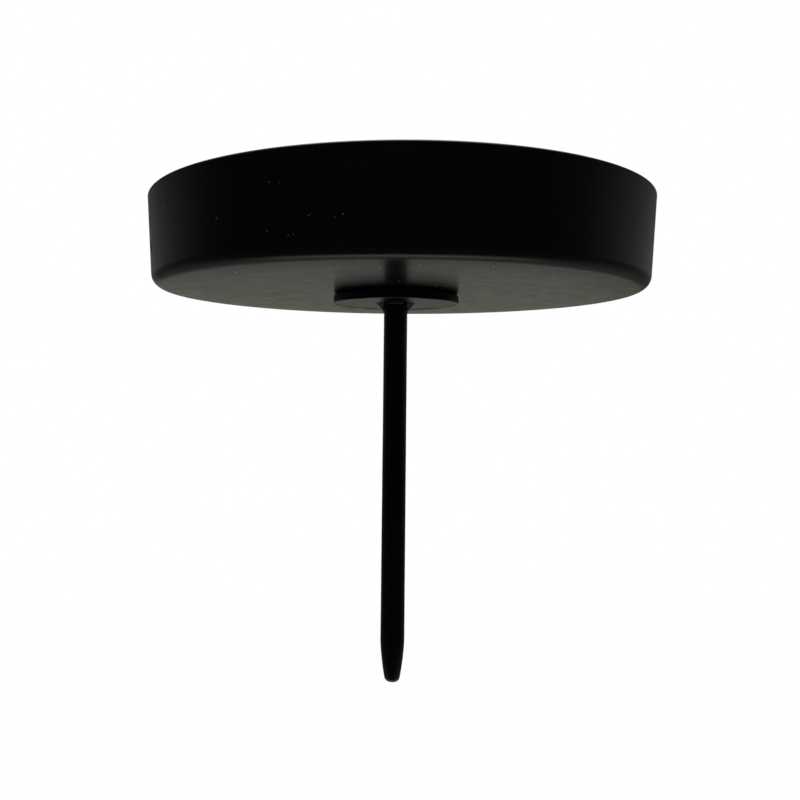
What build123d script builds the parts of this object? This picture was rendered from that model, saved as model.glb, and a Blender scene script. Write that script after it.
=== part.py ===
from build123d import *

import os

# Spiked candle cup: a drawn sheet-steel cup for a pillar candle, carried on a round spike that is pushed
# into a wreath or a drilled block. The spike's tenon stands in a stamped plate, two weld tacks hold it in
# the corner between them, and the plate is projection-welded under the cup.
# Sizes are in millimetres. +Z points up, and the origin is on the spike's axis at the top of its plain
# shank, just below the tacks.

# Candle cup
rim_diameter = 80.0
wall_flare = 1.0            # how far the rim stands outside the foot of the wall, on each side
cup_height = 14.0
sheet = 0.8
corner_inside = 1.0         # bend radius inside the cup, between floor and wall
rim_break = 0.25

# Spike plate
plate_diameter = 20.3
plate_thickness = 1.5
plate_roll = 0.6            # rolled edge that stamping leaves on the cup's side
plate_edge_break = 0.15

# Spike
spike_diameter = 3.8
shank_length = 52.1         # plain round length between the tacks and the point
shoulder_taper = 0.1        # how far the spike narrows on each side, from the shank up to the plate
tenon_diameter = 3.0
tenon_clearance = 0.05      # between the tenon and the wall of the plate's hole
point_length = 6.3
point_end_diameter = 2.3
point_bulge = 0.1
point_round = 0.8

# Welds
tack_on_plate = 1.35        # how far a tack reaches out along the plate, from the shank's side
tack_on_spike = 1.6         # how far it reaches down the spike, which narrows over this length
tack_hollow = 0.22
tack_angle = 80.0           # share of the way round the spike that one tack covers, in degrees
nugget_count = 3
nugget_diameter = 3.0
nugget_depth = 0.4          # how far a nugget reaches into the plate, and as far into the cup's floor

# Share of a wall that a rounding on each of its two edges may take up
edge_share = 0.4

# Radii that follow from the sizes above
rim_radius = rim_diameter / 2
foot_radius = rim_radius - wall_flare
plate_radius = plate_diameter / 2
spike_radius = spike_diameter / 2
shoulder_radius = spike_radius - shoulder_taper
tenon_radius = tenon_diameter / 2
hole_radius = tenon_radius + tenon_clearance
tack_radius = spike_radius + tack_on_plate
nugget_ring_radius = (hole_radius + plate_radius) / 2

# Heights, from the top of the shank at zero
point_top = -shank_length
point_end = point_top - point_length
plate_bottom = tack_on_spike
plate_top = plate_bottom + plate_thickness
rim_top = plate_top + cup_height

os.makedirs("parts", exist_ok=True)

# Candle cup, turned from the section of its sheet, with pockets where the nuggets bite into its floor
with BuildPart() as candle_cup:
    with BuildSketch(Plane.XZ):
        with BuildLine():
            outer_skin = FilletPolyline(
                (0, plate_top),
                (foot_radius, plate_top),
                (rim_radius, rim_top),
                radius=corner_inside + sheet,
            )
            inner_skin = FilletPolyline(
                (0, plate_top + sheet),
                (foot_radius - sheet, plate_top + sheet),
                (rim_radius - sheet, rim_top),
                radius=corner_inside,
            )
            Line(outer_skin @ 0, inner_skin @ 0)
            Line(outer_skin @ 1, inner_skin @ 1)
        make_face()
    revolve(axis=Axis.Z)
    rim_edges = candle_cup.edges().group_by(Axis.Z)[-1]
    fillet(rim_edges, radius=min(rim_break, edge_share * sheet))
    with BuildSketch(Plane.XY.offset(plate_top)):
        with PolarLocations(nugget_ring_radius, nugget_count):
            Circle(nugget_diameter / 2)
    extrude(amount=nugget_depth, mode=Mode.SUBTRACT)

# Spike plate, stamped, with the tenon's hole and the other half of each nugget's pocket
with BuildPart() as spike_plate:
    with BuildSketch(Plane.XY.offset(plate_bottom)):
        Circle(plate_radius)
    extrude(amount=plate_thickness)
    rolled_edge = spike_plate.edges().sort_by(Axis.Z)[-1]
    fillet(rolled_edge, radius=min(plate_roll, edge_share * plate_thickness))
    lower_edge = spike_plate.edges().sort_by(Axis.Z)[0]
    fillet(lower_edge, radius=min(plate_edge_break, edge_share * plate_thickness))
    with BuildSketch(Plane.XY.offset(plate_bottom)):
        Circle(hole_radius)
    extrude(amount=plate_thickness, mode=Mode.SUBTRACT)
    with BuildSketch(Plane.XY.offset(plate_top)):
        with PolarLocations(nugget_ring_radius, nugget_count):
            Circle(nugget_diameter / 2)
    extrude(amount=-nugget_depth, mode=Mode.SUBTRACT)

# Spike: tenon in the plate, shoulder under it, plain shank, and a blunt bulged point
with BuildPart() as spike:
    with BuildSketch(Plane.XZ) as spike_section:
        with BuildLine():
            Polyline(
                (0, point_end),
                (0, plate_top),
                (tenon_radius, plate_top),
                (tenon_radius, plate_bottom),
                (shoulder_radius, plate_bottom),
                (spike_radius, 0),
                (spike_radius, point_top),
            )
            SagittaArc((spike_radius, point_top), (point_end_diameter / 2, point_end), point_bulge)
            Line((point_end_diameter / 2, point_end), (0, point_end))
        make_face()
        end_corner = spike_section.vertices().group_by(Axis.Y)[0].sort_by(Axis.X)[-1]
        fillet(end_corner, radius=min(point_round, edge_share * point_end_diameter))
    revolve(axis=Axis.Z)

# Two weld tacks with hollow faces, in the corner between the spike and the plate on its left and right
with BuildPart() as spike_tacks:
    with BuildSketch(Plane.XZ.rotated((0, 0, -tack_angle / 2))):
        with BuildLine():
            Polyline(
                (spike_radius, 0),
                (shoulder_radius, plate_bottom),
                (tack_radius, plate_bottom),
            )
            SagittaArc((tack_radius, plate_bottom), (spike_radius, 0), -tack_hollow)
        make_face()
    revolve(axis=Axis.Z, revolution_arc=tack_angle)
    mirror(about=Plane.YZ)

# Projection-weld nuggets, half in the plate and half in the cup's floor
with BuildPart() as plate_weld_nuggets:
    with BuildSketch(Plane.XY.offset(plate_top - nugget_depth)):
        with PolarLocations(nugget_ring_radius, nugget_count):
            Circle(nugget_diameter / 2)
    extrude(amount=2 * nugget_depth)

candle_cup.part.label = "candle_cup"
spike_plate.part.label = "spike_plate"
spike.part.label = "spike"
spike_tacks.part.label = "spike_tacks"
plate_weld_nuggets.part.label = "plate_weld_nuggets"

for piece in (candle_cup, spike_plate, spike, spike_tacks, plate_weld_nuggets):
    export_step(piece.part, f"parts/{piece.part.label}.step")
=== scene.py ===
import math
import random

import bmesh
import bpy
from mathutils import Matrix, Vector, noise


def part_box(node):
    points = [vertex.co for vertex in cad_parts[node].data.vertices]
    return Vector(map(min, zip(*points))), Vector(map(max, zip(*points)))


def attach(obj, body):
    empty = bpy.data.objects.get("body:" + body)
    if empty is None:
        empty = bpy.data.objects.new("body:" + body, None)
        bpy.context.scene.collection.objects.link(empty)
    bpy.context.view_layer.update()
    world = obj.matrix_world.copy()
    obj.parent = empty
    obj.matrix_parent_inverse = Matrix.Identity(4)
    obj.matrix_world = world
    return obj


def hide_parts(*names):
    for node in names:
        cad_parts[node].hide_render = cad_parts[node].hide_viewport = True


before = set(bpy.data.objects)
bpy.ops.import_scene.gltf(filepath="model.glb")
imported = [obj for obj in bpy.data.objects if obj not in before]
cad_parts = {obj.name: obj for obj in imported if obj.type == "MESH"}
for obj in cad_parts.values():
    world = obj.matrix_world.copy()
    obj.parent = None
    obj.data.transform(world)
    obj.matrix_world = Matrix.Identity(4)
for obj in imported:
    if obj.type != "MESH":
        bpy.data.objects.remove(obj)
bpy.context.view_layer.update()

# Spiked candle cup in satin black powder coat. The four coated pieces are skinned here as fine meshes, with
# the small unevenness of drawn sheet, of a stamped edge and of weld tacks and a few motes of dust, and stand
# for the solids of the same names. Lengths are in metres, in the frame's own axes.
MM = 0.001

# Outside sizes, from the frame
CUP_LOW, CUP_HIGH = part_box("candle_cup")
PLATE_LOW, PLATE_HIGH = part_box("spike_plate")
SPIKE_LOW, SPIKE_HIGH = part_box("spike")
TACKS_LOW, TACKS_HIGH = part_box("spike_tacks")
PLATE_RADIUS = PLATE_HIGH.x
SPIKE_RADIUS = SPIKE_HIGH.x
TACK_REACH = TACKS_HIGH.x - SPIKE_RADIUS
TACK_DROP = TACKS_HIGH.z - TACKS_LOW.z

# Cup section. Along its edge the underside rises a little, up to the crown's slope over the crown's width
RIM_RADIUS = 40.0 * MM
WALL_FLARE = 1.0 * MM
SHEET = 0.8 * MM
CORNER_INSIDE = 1.0 * MM
RIM_BREAK = 0.25 * MM
FOOT_RADIUS = RIM_RADIUS - WALL_FLARE
WALL_SLOPE = WALL_FLARE / (CUP_HIGH.z - CUP_LOW.z)
CROWN_SLOPE = 0.035
CROWN_WIDTH = 6.2 * MM

# Plate, spike and tack sections
HOLE_RADIUS = 1.55 * MM
PLATE_ROLL = 0.6 * MM
PLATE_EDGE_BREAK = 0.15 * MM
BURR_HEIGHT = 0.12 * MM
BURR_WIDTH = 0.40 * MM
BURR_FOOT = BURR_HEIGHT / 4
TENON_RADIUS = 1.5 * MM
COAT_FILLET = 0.2 * MM
POINT_LENGTH = 6.3 * MM
POINT_END_RADIUS = 1.15 * MM
POINT_BULGE = 0.1 * MM
POINT_ROUND = 0.8 * MM
TACK_HOLLOW = 0.22 * MM
TACK_HALF_ANGLE = math.radians(40.0)

# Motes of dust on the underside and on the wall: seed, number, range of radius, and rarity of large ones
MOTES_BELOW = (2, 84, (0.03 * MM, 0.17 * MM), 4)
MOTES_BESIDE = (2, 30, (0.015 * MM, 0.055 * MM), 2)
MOTE_INSET = 2.5 * MM
MOTE_BEARINGS = (math.radians(198.0), math.radians(262.0))
MOTE_HEIGHTS = (CUP_LOW.z + 2.5 * MM, CUP_LOW.z + 10.5 * MM)
MOTE_FINENESS = 1

# Share of wear on the edges
CORNER_WEAR = 0.4
RIM_WEAR = 1.0
BURR_WEAR = 1.0
ROLL_WEAR = 0.3
POINT_WEAR = 0.8

# Mesh fineness
CUP_TURNS = 288
PLATE_TURNS = 200
SPIKE_TURNS = 72
TACK_STEPS = 28
ARC_STEPS = 10
RUN_STEP = 1.0 * MM
EDGE_HOLD = 0.03 * MM
MERGE_REACH = 0.0005 * MM

# Unevenness: height of the waves and their length
SHEET_WAVE, SHEET_WAVE_LENGTH = 0.004 * MM, 16.0 * MM
BURR_WAVE, BURR_WAVE_LENGTH = 0.050 * MM, 2.6 * MM
SPIKE_WAVE, SPIKE_WAVE_LENGTH = 0.010 * MM, 7.0 * MM
TACK_WAVE, TACK_WAVE_LENGTH = 0.080 * MM, 1.3 * MM

# Dent in the cup's wall: bearing from the front towards -X, height, half size, depth and the cuts across it
DENT_BEARING = math.radians(68.7)
DENT_HEIGHT = 8.6 * MM
DENT_HALF_SIZE = 0.8 * MM
DENT_DEPTH = 0.28 * MM
DENT_SPREAD, DENT_CUTS = 2, 6
DENT_STEPS = [DENT_SPREAD * cut / DENT_CUTS for cut in range(-DENT_CUTS, DENT_CUTS + 1)]
FRONT_BEARING = 1.5 * math.pi


def rounded(corners, closed=False):
    """Outline points, each with its share of wear, of corners (radius, height, rounding, wear)."""
    outline = []
    for i, (radius, height, rounding, wear) in enumerate(corners):
        here = Vector((radius, height))
        if rounding == 0:
            outline.append((here, wear))
            continue
        before = (Vector(corners[i - 1][:2]) - here).normalized()
        after = (Vector(corners[(i + 1) % len(corners)][:2]) - here).normalized()
        half_angle = before.angle(after) / 2
        centre = here + (before + after).normalized() * rounding / math.sin(half_angle)
        reach = rounding / math.tan(half_angle)
        first = (here + before * reach - centre).normalized()
        last = (here + after * reach - centre).normalized()
        for step in range(ARC_STEPS + 1):
            outline.append((centre + first.slerp(last, step / ARC_STEPS) * rounding, wear))
    return filled(outline, closed)


def bulged(start, end, sagitta):
    """Points of a shallow arc between two outline points, its middle moved to the right by sagitta."""
    start, end = Vector(start), Vector(end)
    along = end - start
    aside = Vector((along.y, -along.x)).normalized()
    shares = [step / ARC_STEPS for step in range(ARC_STEPS + 1)]
    return [(start + along * t + aside * sagitta * 4 * t * (1 - t), 0.0) for t in shares]


def filled(outline, closed=False):
    """The outline with points added on its long runs, and near their ends to keep the shading true."""
    ends = outline[1:] + outline[:1] if closed else outline[1:]
    result = []
    for (a, wear), (b, _) in zip(outline, ends):
        length = (b - a).length
        result.append((a, wear))
        if length > RUN_STEP / 2:
            parts = math.ceil(length / RUN_STEP)
            shares = [EDGE_HOLD / length]
            shares += [part / parts for part in range(1, parts)]
            shares += [1 - EDGE_HOLD / length]
            result += [(a.lerp(b, t), 0.0) for t in shares]
    return result if closed else result + [outline[-1]]


def new_shape():
    """An empty shape whose points carry a share of wear and a share of dust."""
    shape = bmesh.new()
    shape.verts.layers.float.new("wear")
    shape.verts.layers.float.new("dust")
    return shape


def skin(shape, spokes, whole_turn, closed):
    """Adds faces over spokes, which are outlines that stand at bearings round Z."""
    wear_layer = shape.verts.layers.float["wear"]
    rows = []
    for bearing, outline in spokes:
        row = []
        for point, wear in outline:
            vert = shape.verts.new((point.x * math.cos(bearing), point.x * math.sin(bearing), point.y))
            vert[wear_layer] = wear
            row.append(vert)
        rows.append(row)
    for row, next_row in zip(rows, rows[1:] + rows[:1] if whole_turn else rows[1:]):
        rungs = list(zip(row, next_row))
        next_rungs = rungs[1:] + rungs[:1] if closed else rungs[1:]
        for (a, b), (d, c) in zip(rungs, next_rungs):
            shape.faces.new((a, b, c, d))


def piece_of(shape, name, uneven):
    """The shape as a smooth piece, with each point moved along its normal by uneven(point)."""
    bmesh.ops.remove_doubles(shape, verts=shape.verts, dist=MERGE_REACH)
    bmesh.ops.recalc_face_normals(shape, faces=shape.faces)
    shape.normal_update()
    moves = [vert.normal * uneven(vert.co) for vert in shape.verts]
    for vert, move in zip(shape.verts, moves):
        vert.co += move
    mesh = bpy.data.meshes.new(name)
    shape.to_mesh(mesh)
    shape.free()
    mesh.shade_smooth()
    piece = bpy.data.objects.new(name, mesh)
    bpy.context.scene.collection.objects.link(piece)
    return piece


def turned(outline, bearings, closed=False):
    """A shape turned about Z from one outline."""
    shape = new_shape()
    skin(shape, [(bearing, outline) for bearing in bearings], True, closed)
    return shape


def spot_below(draw):
    """A random spot on the underside, outside the plate: reach from the axis, bearing and height."""
    reach = math.sqrt(draw.uniform(PLATE_RADIUS ** 2, (FOOT_RADIUS - MOTE_INSET) ** 2))
    return reach, draw.uniform(0.0, 2 * math.pi), CUP_LOW.z


def spot_beside(draw):
    """A random spot on the dusty part of the wall: reach from the axis, bearing and height."""
    height = draw.uniform(*MOTE_HEIGHTS)
    return FOOT_RADIUS + WALL_SLOPE * (height - CUP_LOW.z), draw.uniform(*MOTE_BEARINGS), height


def scatter_motes(shape, spot, seed, count, radii, rarity):
    """Adds motes of dust to the cup, each half sunk into it. The higher the rarity, the fewer are large."""
    dust_layer = shape.verts.layers.float["dust"]
    draw = random.Random(seed)
    least, largest = radii
    for _ in range(count):
        reach, bearing, height = spot(draw)
        middle = Vector((reach * math.cos(bearing), reach * math.sin(bearing), height))
        radius = least + (largest - least) * draw.random() ** rarity
        place = Matrix.Translation(middle)
        mote = bmesh.ops.create_icosphere(shape, subdivisions=MOTE_FINENESS, radius=radius, matrix=place)
        for vert in mote["verts"]:
            vert[dust_layer] = 1.0


def evenly(turns):
    """Bearings of that many equal turns."""
    return [2 * math.pi * i / turns for i in range(turns)]


def waves(height, length):
    """Smooth unevenness of that height, with waves of about that length."""
    return lambda point: height * noise.noise(point / length)


def cup_unevenness(point):
    """Waves of the drawn sheet, and the dent in its wall."""
    across = (math.atan2(-point.x, -point.y) - DENT_BEARING) * RIM_RADIUS / DENT_HALF_SIZE
    upwards = (point.z - DENT_HEIGHT) / DENT_HALF_SIZE
    outside = math.hypot(point.x, point.y) > FOOT_RADIUS - SHEET / 2
    dent = DENT_DEPTH * math.exp(-across * across - upwards * upwards) if outside else 0.0
    return waves(SHEET_WAVE, SHEET_WAVE_LENGTH)(point) - dent


def plate_unevenness(point):
    """Uneven height of the coated burr that stamping leaves along the lower edge."""
    on_burr = point.z < PLATE_LOW.z - BURR_FOOT
    return waves(BURR_WAVE, BURR_WAVE_LENGTH)(point) if on_burr else 0.0


def make_cup():
    """The drawn cup: underside with its slightly rising edge, flared wall, rim, and the inside."""
    crown_radius = FOOT_RADIUS - CORNER_INSIDE - SHEET - CROWN_WIDTH / 2
    foot_height = CUP_LOW.z + CROWN_SLOPE * (FOOT_RADIUS - crown_radius)
    dent_heights = [DENT_HEIGHT + step * DENT_HALF_SIZE for step in DENT_STEPS]
    outline = rounded([
        (0.0, CUP_LOW.z, 0.0, 0.0),
        (crown_radius, CUP_LOW.z, CROWN_WIDTH / CROWN_SLOPE, 0.0),
        (FOOT_RADIUS, foot_height, CORNER_INSIDE + SHEET, CORNER_WEAR),
        *[(FOOT_RADIUS + WALL_SLOPE * (height - CUP_LOW.z), height, 0.0, 0.0) for height in dent_heights],
        (RIM_RADIUS, CUP_HIGH.z, RIM_BREAK, RIM_WEAR),
        (RIM_RADIUS - SHEET, CUP_HIGH.z, RIM_BREAK, RIM_WEAR),
        (FOOT_RADIUS - SHEET, CUP_LOW.z + SHEET, CORNER_INSIDE, 0.0),
        (0.0, CUP_LOW.z + SHEET, 0.0, 0.0),
    ])
    dent_centre = FRONT_BEARING - DENT_BEARING
    dent_bearings = [dent_centre + step * DENT_HALF_SIZE / RIM_RADIUS for step in DENT_STEPS]
    shape = turned(outline, sorted(evenly(CUP_TURNS) + dent_bearings))
    scatter_motes(shape, spot_below, *MOTES_BELOW)
    scatter_motes(shape, spot_beside, *MOTES_BESIDE)
    return piece_of(shape, "cup_shell", cup_unevenness)


def make_plate():
    """The stamped plate: edge rolled on the cup's side, and a low coated burr round the lower one."""
    outline = rounded([
        (HOLE_RADIUS, PLATE_LOW.z, 0.0, 0.0),
        (PLATE_RADIUS - BURR_WIDTH, PLATE_LOW.z, BURR_WIDTH / 2, 0.0),
        (PLATE_RADIUS, PLATE_LOW.z - BURR_HEIGHT, PLATE_EDGE_BREAK, BURR_WEAR),
        (PLATE_RADIUS, PLATE_HIGH.z, PLATE_ROLL, ROLL_WEAR),
        (HOLE_RADIUS, PLATE_HIGH.z, 0.0, 0.0),
    ], closed=True)
    shape = turned(outline, evenly(PLATE_TURNS), closed=True)
    return piece_of(shape, "spike_plate_disc", plate_unevenness)


def make_spike():
    """The spike: blunt bulged point, shank, a thin fillet of coat under the plate, and the tenon in it."""
    point_top = SPIKE_LOW.z + POINT_LENGTH
    end = rounded([
        (0.0, SPIKE_LOW.z, 0.0, 0.0),
        (POINT_END_RADIUS, SPIKE_LOW.z, POINT_ROUND, POINT_WEAR),
        (SPIKE_RADIUS, point_top, 0.0, 0.0),
    ])
    end_top = max(point.y for point, wear in end if wear > 0)
    blunt = [corner for corner in end if corner[0].y <= end_top]
    swell = bulged(blunt[-1][0], (SPIKE_RADIUS, point_top), POINT_BULGE)[1:-1]
    shank = rounded([
        (SPIKE_RADIUS, point_top, 0.0, 0.0),
        (SPIKE_RADIUS, PLATE_LOW.z, COAT_FILLET, 0.0),
        (SPIKE_RADIUS + COAT_FILLET, PLATE_LOW.z, 0.0, 0.0),
        (TENON_RADIUS, PLATE_LOW.z, 0.0, 0.0),
        (TENON_RADIUS, SPIKE_HIGH.z, 0.0, 0.0),
        (0.0, SPIKE_HIGH.z, 0.0, 0.0),
    ])
    outline = blunt + swell + shank
    shape = turned(outline, evenly(SPIKE_TURNS))
    return piece_of(shape, "spike_rod", waves(SPIKE_WAVE, SPIKE_WAVE_LENGTH))


def make_tacks():
    """The two weld tacks, left and right of the spike: hollow, rippled, and thinning out at their ends."""
    shape = new_shape()
    for middle in (0.0, math.pi):
        spokes = []
        for step in range(TACK_STEPS + 1):
            share = 2 * step / TACK_STEPS - 1
            swell = math.sqrt(1 - share * share)
            toe = (SPIKE_RADIUS + TACK_REACH * swell, PLATE_LOW.z)
            foot = (SPIKE_RADIUS, PLATE_LOW.z - TACK_DROP * swell)
            root = (Vector((SPIKE_RADIUS, PLATE_LOW.z)), 0.0)
            spokes.append((middle + share * TACK_HALF_ANGLE, bulged(toe, foot, TACK_HOLLOW * swell) + [root]))
        skin(shape, spokes, False, True)
    return piece_of(shape, "spike_weld_tacks", waves(TACK_WAVE, TACK_WAVE_LENGTH))


class Nodes:
    """Short ways to add and link the nodes of one shader tree."""

    # Places of the Mix node's sockets, whose names repeat
    mix_numbers, number_out = (2, 3), 0
    mix_colours, colour_out = (6, 7), 2

    def __init__(self, tree):
        self.tree = tree
        tree.nodes.clear()

    def add(self, kind, links=(), **settings):
        node = self.tree.nodes.new(kind)
        for key, value in settings.items():
            setattr(node, key, value)
        for socket, value in dict(links).items():
            if isinstance(value, bpy.types.NodeSocket):
                self.tree.links.new(value, node.inputs[socket])
            else:
                node.inputs[socket].default_value = value
        return node

    def math(self, operation, a, b=0.0, c=0.0):
        return self.add("ShaderNodeMath", {0: a, 1: b, 2: c}, operation=operation).outputs[0]

    def vector(self, operation, a, b=(0.0, 0.0, 0.0)):
        node = self.add("ShaderNodeVectorMath", {0: a, 1: b}, operation=operation)
        return node.outputs["Value" if operation in ("DOT_PRODUCT", "LENGTH") else "Vector"]

    def span(self, value, limits, out_low, out_high):
        low, high = limits
        sockets = {"Value": value, "From Min": low, "From Max": high, "To Min": out_low, "To Max": out_high}
        return self.add("ShaderNodeMapRange", sockets, interpolation_type="SMOOTHSTEP").outputs["Result"]

    def mix(self, share, a, b):
        links = {"Factor": share, **dict(zip(self.mix_numbers, (a, b)))}
        return self.add("ShaderNodeMix", links).outputs[self.number_out]

    def blend(self, share, a, b):
        links = {"Factor": share, **dict(zip(self.mix_colours, (a, b)))}
        return self.add("ShaderNodeMix", links, data_type="RGBA").outputs[self.colour_out]

    def noise(self, vector, size, detail):
        links = {"Vector": vector, "Scale": 1 / size, "Detail": detail, "Roughness": NOISE_ROUGHNESS}
        return self.add("ShaderNodeTexNoise", links).outputs["Fac"]

    def ramp(self, share, colours):
        node = self.add("ShaderNodeValToRGB", {"Fac": share})
        stops = node.color_ramp.elements
        for _ in colours[2:]:
            stops.new(1.0)
        for stop, (position, colour) in zip(stops, colours):
            stop.position = position
            stop.color = (*colour, 1.0)
        return node.outputs["Color"]


# Powder coat: colours, then size, detail and range or depth of its patterns, then ranges of roughness
COAT_DARK = (0.0020, 0.0021, 0.0021, 1.0)
COAT_LIGHT = (0.0040, 0.0042, 0.0040, 1.0)
COAT_WORN = (0.018, 0.018, 0.018, 1.0)
DUST = (0.60, 0.60, 0.57, 1.0)
CLOUD_SIZE, CLOUD_DETAIL, CLOUD_RANGE = 2.6 * MM, 4.0, (0.3, 0.7)
PEEL_SIZE, PEEL_DETAIL, PEEL_DEPTH = 0.9 * MM, 2.0, 0.0045 * MM
GRAIN_SIZE, GRAIN_DETAIL, GRAIN_DEPTH = 0.12 * MM, 3.0, 0.0002 * MM
NOISE_ROUGHNESS = 0.55
WORN_GRAIN = (0.4, 0.65)
SATIN = (0.222, 0.270)
PLATE_SATIN = (0.28, 0.31)
DULL = (0.28, 0.36)
DUST_ROUGHNESS = 0.8
COAT_IOR = 1.5


def black_coat(name, roughness):
    """Satin black powder coat: orange peel, cloudy gloss, coat worn thin on edges, and dull pale dust."""
    material = bpy.data.materials.new(name)
    material.use_nodes = True
    nodes = Nodes(material.node_tree)
    place = nodes.add("ShaderNodeTexCoord").outputs["Object"]
    clouds = nodes.noise(place, CLOUD_SIZE, CLOUD_DETAIL)
    peel = nodes.noise(place, PEEL_SIZE, PEEL_DETAIL)
    grain = nodes.noise(place, GRAIN_SIZE, GRAIN_DETAIL)
    wear = nodes.add("ShaderNodeAttribute", attribute_name="wear").outputs["Fac"]
    worn = nodes.math("MULTIPLY", wear, nodes.span(grain, WORN_GRAIN, 0.0, 1.0))
    dust = nodes.add("ShaderNodeAttribute", attribute_name="dust").outputs["Fac"]

    coat = nodes.blend(clouds, COAT_DARK, COAT_LIGHT)
    colour = nodes.blend(dust, nodes.blend(worn, coat, COAT_WORN), DUST)
    gloss = nodes.span(clouds, CLOUD_RANGE, *roughness)
    dusty = nodes.mix(dust, gloss, DUST_ROUGHNESS)
    fine = nodes.add("ShaderNodeBump", {"Height": grain, "Distance": GRAIN_DEPTH, "Strength": 1.0}).outputs[0]
    bumps = {"Height": peel, "Distance": PEEL_DEPTH, "Strength": 1.0, "Normal": fine}
    surface = nodes.add("ShaderNodeBump", bumps).outputs[0]
    sockets = {"Base Color": colour, "Roughness": dusty, "Normal": surface, "IOR": COAT_IOR}
    shader = nodes.add("ShaderNodeBsdfPrincipled", sockets).outputs[0]
    nodes.add("ShaderNodeOutputMaterial", {"Surface": shader})
    return material


# Bare steel of the weld nuggets
STEEL = (0.42, 0.42, 0.44, 1.0)
HEAT_TINT = (0.34, 0.27, 0.20, 1.0)
TINT_SIZE, TINT_DETAIL, TINT_RANGE = 1.5 * MM, 4.0, (0.3, 0.7)
STEEL_ROUGHNESS = (0.35, 0.60)


def weld_steel():
    """Bare steel of the hidden weld nuggets, a little heat-tinted."""
    material = bpy.data.materials.new("weld_steel_bare")
    material.use_nodes = True
    nodes = Nodes(material.node_tree)
    place = nodes.add("ShaderNodeTexCoord").outputs["Object"]
    tint = nodes.noise(place, TINT_SIZE, TINT_DETAIL)
    colour = nodes.blend(tint, STEEL, HEAT_TINT)
    rough = nodes.span(tint, TINT_RANGE, *STEEL_ROUGHNESS)
    steel = {"Base Color": colour, "Roughness": rough, "Metallic": 1.0}
    shader = nodes.add("ShaderNodeBsdfPrincipled", steel).outputs[0]
    nodes.add("ShaderNodeOutputMaterial", {"Surface": shader})
    return material


# Room that the coat mirrors, as colours by elevation in degrees: straight behind, and to the sides
BEHIND = (
    (-90.0, (0.188, 0.192, 0.182)),
    (-45.0, (0.166, 0.170, 0.160)),
    (-19.0, (0.148, 0.151, 0.142)),
    (-9.0, (0.142, 0.144, 0.133)),
    (-6.5, (0.200, 0.205, 0.164)),
    (-4.5, (0.430, 0.442, 0.335)),
    (-2.5, (0.360, 0.370, 0.292)),
    (0.0, (0.260, 0.265, 0.224)),
    (12.0, (0.130, 0.132, 0.118)),
    (35.0, (0.050, 0.050, 0.050)),
)
SIDES = (
    (-90.0, (0.188, 0.192, 0.182)),
    (-45.0, (0.156, 0.160, 0.150)),
    (-25.0, (0.100, 0.102, 0.096)),
    (-10.0, (0.043, 0.047, 0.044)),
    (0.0, (0.091, 0.099, 0.091)),
    (5.0, (0.154, 0.166, 0.152)),
    (12.0, (0.081, 0.088, 0.081)),
    (35.0, (0.040, 0.040, 0.040)),
)
BEHIND_BEARING = math.radians(-4.0)
BEHIND_EDGE = (math.cos(math.radians(27.0)), math.cos(math.radians(13.0)))
SIDES_BEARING = math.radians(3.0)
SIDES_EDGE = (-0.45, 0.85)
ROOM_FRONT = 0.04
CEILING_EDGE = (0.45, 0.75)
CEILING_LIGHT = 0.6
WHITE = (1.0, 1.0, 1.0, 1.0)
LEVEL = (1.0, 1.0, 0.0)

# Floor and lamp
FLOOR_DROP = 82.0 * MM
FLOOR_RADIUS = 400.0 * MM
FLOOR_FADE = (0.5 * FLOOR_RADIUS, FLOOR_RADIUS)
FLOOR_TURNS = 96
FLOOR_COLOUR = (0.86, 0.86, 0.86, 1.0)
FLOOR_GLOW = 0.30
POOL_HALF_SIZE = (160.0 * MM, 44.0 * MM)
POOL_BACK = -8.0 * MM
POOL_EDGE = (0.2, 1.0)
SOFTBOX_HEIGHT = 1200.0 * MM
SOFTBOX_SIZE = 1200.0 * MM
SOFTBOX_POWER = 9.0


def seen_rays(nodes):
    """1 for rays from the camera, and for the glossy and transmission rays that show the background too."""
    path = nodes.add("ShaderNodeLightPath").outputs
    shown = nodes.math("MAXIMUM", path["Is Glossy Ray"], path["Is Transmission Ray"])
    return path["Is Camera Ray"], shown


def by_height(colours):
    """Stops of a colour ramp over the height of a direction, from straight down to straight up."""
    return [((1 + math.sin(math.radians(elevation))) / 2, colour) for elevation, colour in colours]


def heading(bearing):
    """Level direction at a bearing from straight behind, positive towards +X."""
    return (math.sin(bearing), math.cos(bearing), 0.0)


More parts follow.
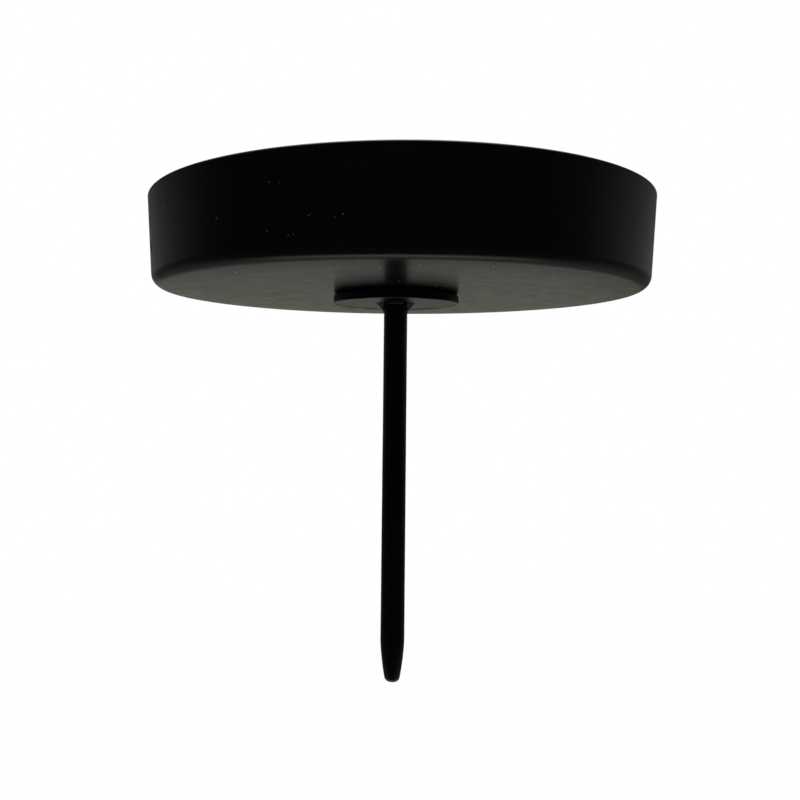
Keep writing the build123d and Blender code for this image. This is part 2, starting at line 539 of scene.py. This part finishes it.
def make_world():
    """White to the camera. What lights and mirrors in the coat is a dim room under a white ceiling."""
    world = bpy.data.worlds.new("studio")
    bpy.context.scene.world = world
    world.use_nodes = True
    nodes = Nodes(world.node_tree)
    camera_ray, gloss_ray = seen_rays(nodes)
    direction = nodes.add("ShaderNodeTexCoord").outputs["Generated"]
    height = nodes.add("ShaderNodeSeparateXYZ", {"Vector": direction}).outputs["Z"]
    share = nodes.math("DIVIDE", nodes.math("ADD", height, 1.0), 2.0)
    level = nodes.vector("NORMALIZE", nodes.vector("MULTIPLY", direction, LEVEL))
    behind = nodes.vector("DOT_PRODUCT", level, heading(BEHIND_BEARING))
    straight = nodes.span(behind, BEHIND_EDGE, 0.0, 1.0)
    colour = nodes.blend(straight, nodes.ramp(share, by_height(SIDES)), nodes.ramp(share, by_height(BEHIND)))
    beside = nodes.vector("DOT_PRODUCT", level, heading(SIDES_BEARING))
    strength = nodes.span(beside, SIDES_EDGE, ROOM_FRONT, 1.0)
    room = nodes.add("ShaderNodeBackground", {"Color": colour, "Strength": strength}).outputs[0]
    ceiling = nodes.span(height, CEILING_EDGE, 0.0, 1.0)
    white = nodes.math("MAXIMUM", camera_ray, nodes.math("MULTIPLY", gloss_ray, ceiling))
    soft = nodes.math("MAXIMUM", white, nodes.math("MULTIPLY", ceiling, CEILING_LIGHT))
    sky = nodes.add("ShaderNodeBackground", {"Color": WHITE, "Strength": 1.0}).outputs[0]
    both = nodes.add("ShaderNodeMixShader", {0: soft, 1: room, 2: sky}).outputs[0]
    nodes.add("ShaderNodeOutputWorld", {"Surface": both})


def pale_floor():
    """Pale floor that fades out before its edge. The coat mirrors only the pool of it below the object."""
    material = bpy.data.materials.new("pale_floor")
    material.use_nodes = True
    nodes = Nodes(material.node_tree)
    camera_ray, gloss_ray = seen_rays(nodes)
    place = nodes.add("ShaderNodeTexCoord").outputs["Object"]
    fade = nodes.span(nodes.vector("LENGTH", place), FLOOR_FADE, 0.0, 1.0)
    pool_shape = {"Vector": place, "Location": (0.0, POOL_BACK, 0.0), "Scale": (*POOL_HALF_SIZE, 1.0)}
    pool = nodes.add("ShaderNodeMapping", pool_shape, vector_type="TEXTURE").outputs["Vector"]
    beyond = nodes.span(nodes.vector("LENGTH", pool), POOL_EDGE, 0.0, 1.0)
    unseen = nodes.math("MAXIMUM", fade, nodes.math("MULTIPLY", gloss_ray, beyond))
    lit = nodes.add("ShaderNodeBsdfDiffuse", {"Color": FLOOR_COLOUR}).outputs[0]
    shown = nodes.math("MULTIPLY", nodes.math("MAXIMUM", camera_ray, gloss_ray), FLOOR_GLOW)
    glow = nodes.add("ShaderNodeEmission", {"Color": WHITE, "Strength": shown}).outputs[0]
    pale = nodes.add("ShaderNodeAddShader", {0: lit, 1: glow}).outputs[0]
    clear = nodes.add("ShaderNodeBsdfTransparent").outputs[0]
    surface = nodes.add("ShaderNodeMixShader", {0: unseen, 1: pale, 2: clear}).outputs[0]
    nodes.add("ShaderNodeOutputMaterial", {"Surface": surface})
    return material


def make_floor():
    """A round floor below the point."""
    shape = bmesh.new()
    bmesh.ops.create_circle(shape, cap_ends=True, segments=FLOOR_TURNS, radius=FLOOR_RADIUS)
    mesh = bpy.data.meshes.new("floor")
    shape.to_mesh(mesh)
    shape.free()
    mesh.materials.append(pale_floor())
    floor = bpy.data.objects.new("floor", mesh)
    floor.location.z = SPIKE_LOW.z - FLOOR_DROP
    bpy.context.scene.collection.objects.link(floor)


def make_softbox():
    """One large soft lamp overhead."""
    lamp = bpy.data.lights.new("softbox", "AREA")
    lamp.shape = "DISK"
    lamp.size = SOFTBOX_SIZE
    lamp.energy = SOFTBOX_POWER
    softbox = bpy.data.objects.new("softbox", lamp)
    softbox.location.z = SOFTBOX_HEIGHT
    bpy.context.scene.collection.objects.link(softbox)


# Camera, fitted to the photograph
CAMERA_DISTANCE = 137.80 * MM
CAMERA_HEIGHT = -12.00 * MM
CAMERA_PITCH = math.radians(3.822)
CAMERA_YAW = math.radians(-4.227)
CAMERA_ROLL = math.radians(0.863)
CAMERA_LENS = 38.075
CAMERA_SENSOR = 36.0
CAMERA_SHIFT = (0.0837, -0.0875)
CAMERA_NEAR = 5.0 * MM


def make_camera():
    """The camera in front of and a little below the cup, looking slightly up."""
    forward = Vector((
        math.sin(CAMERA_YAW) * math.cos(CAMERA_PITCH),
        math.cos(CAMERA_YAW) * math.cos(CAMERA_PITCH),
        math.sin(CAMERA_PITCH),
    ))
    level = Vector((math.cos(CAMERA_YAW), -math.sin(CAMERA_YAW), 0.0))
    right = Matrix.Rotation(-CAMERA_ROLL, 3, forward) @ level
    up = right.cross(forward)
    camera_data = bpy.data.cameras.new("camera")
    camera_data.lens = CAMERA_LENS
    camera_data.sensor_width = CAMERA_SENSOR
    camera_data.shift_x, camera_data.shift_y = CAMERA_SHIFT
    camera_data.clip_start = CAMERA_NEAR
    camera = bpy.data.objects.new("camera", camera_data)
    place = Matrix((right, up, -forward)).transposed().to_4x4()
    place.translation = Vector((0.0, -CAMERA_DISTANCE, CAMERA_HEIGHT))
    camera.matrix_world = place
    bpy.context.scene.collection.objects.link(camera)
    bpy.context.scene.camera = camera


# Pieces, each with its coat, in place of the solid of its name
coats = {
    "candle_cup": (make_cup, "cup_coat", SATIN),
    "spike_plate": (make_plate, "plate_coat", PLATE_SATIN),
    "spike": (make_spike, "spike_coat", SATIN),
    "spike_tacks": (make_tacks, "tack_coat", DULL),
}
for node, (make, coat_name, roughness) in coats.items():
    piece = make()
    piece.data.materials.append(black_coat(coat_name, roughness))
    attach(piece, "root")
    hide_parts(node)
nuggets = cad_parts["plate_weld_nuggets"]
nuggets.data.materials.clear()
nuggets.data.materials.append(weld_steel())

make_world()
make_floor()
make_softbox()
make_camera()
bpy.context.scene.view_settings.view_transform = "Standard"
